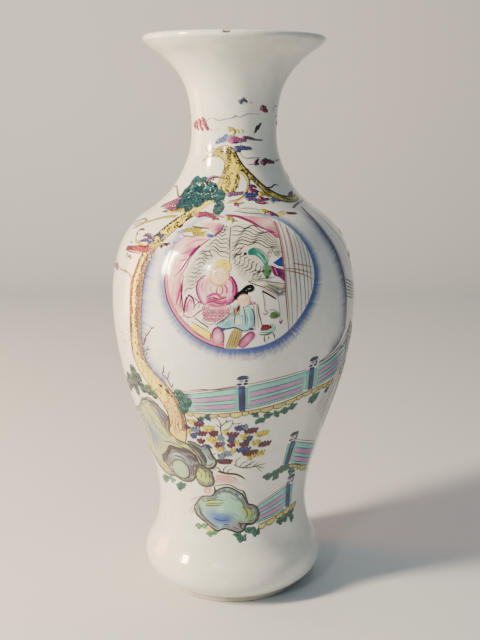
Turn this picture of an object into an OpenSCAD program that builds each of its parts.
// Porcelain baluster vase with a flared mouth and a spreading foot.
// A tall vase is too long to throw in one piece. It is thrown as five open sections, each turned
// down when leather hard, and they are joined end to end with luting slip before glazing. The
// floor is a slab luted inside the foot, and the vase stands on a turned, unglazed ring.
// Millimetres, +Z up, origin at the centre of the standing ring's underside, front towards -Y.

/* [Overall] */
// Height from the standing ring to the top of the lip
vase_h = 580; // [570:1:600]
// Radius over the lip
lip_r = 92; // [88:0.5:96]
// Radius of the neck where it is narrowest
neck_r = 43.5; // [40:0.5:47]
// Radius of the belly where it is widest
belly_r = 127.5; // [122:0.5:132]
// Radius of the waist above the foot
waist_r = 80.5; // [77:0.5:84]
// Radius of the spreading foot where it is widest
foot_r = 97; // [94:0.5:100]

/* [Standing ring] */
// Outer radius of the standing ring
ring_r = 78.5; // [76:0.5:80]
// Width of the ring's standing face
ring_w = 12; // [9:0.5:14]
// Height of the ring under the foot section
ring_h = 8; // [6:0.5:9]
// Depth of the turned groove between the ring and the foot
groove_d = 1.4; // [1:0.1:2]
// Bevel on the ring's bottom edges
ring_bevel = 1.2; // [0.6:0.1:1.5]

/* [Walls] */
// Wall thickness at the spreading foot
foot_wall = 10; // [8:0.5:11]
// Wall thickness at the belly
belly_wall = 7; // [6:0.5:8]
// Wall thickness at the neck
neck_wall = 6; // [5:0.5:7]
// Thickness of the rounded lip
lip_t = 7.2; // [6.5:0.1:8]
// Thickness of the floor slab
floor_t = 9; // [7:0.5:10]
// Height of the floor slab's underside above the standing face
recess_h = 10; // [9:0.5:12]
// Radius of the floor slab
floor_r = 73; // [71:0.5:74]

/* [Luting] */
// Thickness of the slip between two sections
slip_t = 1.6; // [1.2:0.1:2.4]
// How far the slip stands proud of the inner wall
bead_h = 1.5; // [1:0.1:2]

/* [Resolution] */
// Facets round a full turn
facets = 180; // [60:12:240]
// Points along the outline between two stations
steps = 4; // [3:1:6]

/* [Hidden] */

glazed = "#ece7dc";
biscuit = "#d3c4a6";
slip = "#dcd3c2";

// How far each radius lies between two named ones.
function blend_r(a, b, share) = a + (b - a) * share;

// The rounded lip is a circle of diameter lip_t. The flare meets it at this angle below the
// horizontal, seen from the circle's centre.
lip_c = [lip_r - lip_t / 2, vase_h - lip_t / 2];
lip_meet = 56;
lip_start = lip_c + lip_t / 2 * [cos(lip_meet), -sin(lip_meet)];

// Stations of the outer outline, [radius, height], from under the foot to the lip.
STATIONS = [
    [blend_r(ring_r, foot_r, 0.24), ring_h],
    [blend_r(ring_r, foot_r, 0.65), 14.5],
    [blend_r(ring_r, foot_r, 0.92), 22],
    [foot_r, 31],
    [blend_r(waist_r, foot_r, 0.84), 42],
    [blend_r(waist_r, foot_r, 0.45), 54],
    [blend_r(waist_r, foot_r, 0.19), 66],
    [blend_r(waist_r, foot_r, 0.05), 81],
    [waist_r, 98],
    [blend_r(waist_r, belly_r, 0.08), 125],
    [blend_r(waist_r, belly_r, 0.24), 152],
    [blend_r(waist_r, belly_r, 0.41), 178],
    [blend_r(waist_r, belly_r, 0.58), 203],
    [blend_r(waist_r, belly_r, 0.74), 228],
    [blend_r(waist_r, belly_r, 0.87), 255],
    [blend_r(waist_r, belly_r, 0.965), 284],
    [belly_r, 314],
    [blend_r(neck_r, belly_r, 0.975), 342],
    [blend_r(neck_r, belly_r, 0.90), 368],
    [blend_r(neck_r, belly_r, 0.79), 386],
    [blend_r(neck_r, belly_r, 0.625), 401],
    [blend_r(neck_r, belly_r, 0.41), 414],
    [blend_r(neck_r, belly_r, 0.235), 429],
    [blend_r(neck_r, belly_r, 0.10), 449],
    [blend_r(neck_r, belly_r, 0.02), 469],
    [neck_r, 490],
    [blend_r(neck_r, lip_r, 0.035), 511],
    [blend_r(neck_r, lip_r, 0.13), vase_h - 50],
    [blend_r(neck_r, lip_r, 0.32), vase_h - 34],
    [blend_r(neck_r, lip_r, 0.58), vase_h - 21],
    [blend_r(neck_r, lip_r, 0.84), vase_h - 12],
    lip_start
];
LAST = len(STATIONS) - 1;

// Wall thickness against height.
WALLS = [
    [0, foot_wall],
    [40, foot_wall],
    [130, blend_r(foot_wall, belly_wall, 0.5)],
    [230, belly_wall],
    [370, belly_wall],
    [440, neck_wall],
    [vase_h - 40, neck_wall],
    [lip_start[1], lip_t]
];

// Places of the luted joints along the outline, counted in stations.
waist_joint = 8;
belly_joint = 14;
shoulder_joint = 20.5;
neck_joint = 26.8;

// The outline is a smooth curve through the stations. Beyond its ends it runs on straight.
function station(i) =
    i < 0 ? 2 * STATIONS[0] - STATIONS[1] :
    i > LAST ? 2 * STATIONS[LAST] - STATIONS[LAST - 1] :
    STATIONS[i];
function segment(u) = min(floor(u), LAST - 1);
function cubic(a, b, c, d, t) =
    b + t / 2 * (c - a + t * (2 * a - 5 * b + 4 * c - d + t * (3 * (b - c) + d - a)));
function outer(u) =
    let (i = segment(u))
    cubic(station(i - 1), station(i), station(i + 1), station(i + 2), u - i);

// Unit vector along the outline, the outward normal, and the wall's inner face.
function along(u) = let (e = 0.01, d = outer(u + e) - outer(u - e)) d / norm(d);
function outward(u) = let (d = along(u)) [d[1], -d[0]];
function inner(u, extra = 0) =
    outer(u) - (lookup(outer(u)[1], WALLS) + extra) * outward(u);

// Half the slip's thickness, counted in stations, at a joint.
function half_slip(u) = slip_t / 2 / (norm(outer(u + 0.01) - outer(u - 0.01)) / 0.02);

// Evenly spaced values from u0 to u1, with about the chosen number of steps a station.
function spaced(u0, u1) =
    let (n = max(1, round((u1 - u0) * steps)))
    [for (k = [0:n]) u0 + (u1 - u0) * k / n];
function reversed(list) = [for (k = [len(list) - 1:-1:0]) list[k]];

module turned(points) {
    rotate_extrude($fn = facets) polygon(points);
}

// An open section of the wall between two places on the outline.
module wall_section(u0, u1) {
    us = spaced(u0, u1);
    turned(concat([for (u = us) outer(u)], [for (u = reversed(us)) inner(u)]));
}

// The slip between two sections: flush outside, and a low rounded bead inside.
module luting(u) {
    h = half_slip(u);
    turned([
        outer(u - h), outer(u + h),
        inner(u + h), inner(u + h * 0.6, bead_h * 0.8),
        inner(u, bead_h),
        inner(u - h * 0.6, bead_h * 0.8), inner(u - h)
    ]);
}

module standing_ring() {
    inside = ring_r - ring_w;
    groove_h = 1;
    color(biscuit)
        turned([
            [inside + ring_bevel, 0], [ring_r - 2 * ring_bevel, 0],
            [ring_r - ring_bevel, ring_bevel / 3], [ring_r - ring_bevel / 3, ring_bevel],
            [ring_r, 2 * ring_bevel], [ring_r, ring_h - groove_h - groove_d],
            [ring_r - groove_d, ring_h - groove_h], [ring_r - groove_d, ring_h],
            [inside, ring_h], [inside, ring_bevel]
        ]);
}

floor_top = recess_h + floor_t;
seat_r = floor_r + slip_t / 2;

module floor_slab() {
    color(glazed) translate([0, 0, recess_h]) cylinder(h = floor_t, r = floor_r, $fn = facets);
}

// Slip round the floor slab, with a fillet on top where the slab meets the foot wall.
module floor_luting() {
    fillet = 2 * bead_h;
    color(slip)
        turned([
            [floor_r, recess_h], [seat_r, recess_h], [seat_r, floor_top],
            [seat_r + fillet, floor_top], [seat_r, floor_top + fillet * 0.7],
            [floor_r - fillet, floor_top], [floor_r, floor_top]
        ]);
}

// The foot wall curls under to the standing ring, and has a flat seat for the floor slab.
module foot_section() {
    end = waist_joint - half_slip(waist_joint);
    us = spaced(0, end);
    above_floor = [for (u = reversed(us)) if (inner(u)[1] > floor_top + 2) inner(u)];
    corner = above_floor[len(above_floor) - 1];
    color(glazed)
        turned(concat(
            [for (u = us) outer(u)],
            above_floor,
            [[corner[0] - 2.5, floor_top], [seat_r, floor_top], [seat_r, ring_h]]
        ));
}

module between_joints(lower, upper) {
    color(glazed) wall_section(lower + half_slip(lower), upper - half_slip(upper));
}

// The wall runs on into the round lip, which turns over to the inner face.
module mouth_section() {
    start = neck_joint + half_slip(neck_joint);
    us = spaced(start, LAST);
    arc_steps = 12;
    lip = [
        for (k = [1:arc_steps - 1])
            let (a = -lip_meet + 180 * k / arc_steps)
            lip_c + lip_t / 2 * [cos(a), sin(a)]
    ];
    lip_end = lip_c - lip_t / 2 * [cos(lip_meet), -sin(lip_meet)];
    inside = [for (u = reversed(us)) if (u < LAST - 0.1) inner(u)];
    color(glazed)
        turned(concat([for (u = us) outer(u)], lip, [lip_end], inside));
}

standing_ring();
floor_slab();
floor_luting();
foot_section();
color(slip) luting(waist_joint);  // waist_luting
between_joints(waist_joint, belly_joint);  // lower_body
color(slip) luting(belly_joint);  // belly_luting
between_joints(belly_joint, shoulder_joint);  // upper_body
color(slip) luting(shoulder_joint);  // shoulder_luting
between_joints(shoulder_joint, neck_joint);  // neck_section
color(slip) luting(neck_joint);  // neck_luting
mouth_section();
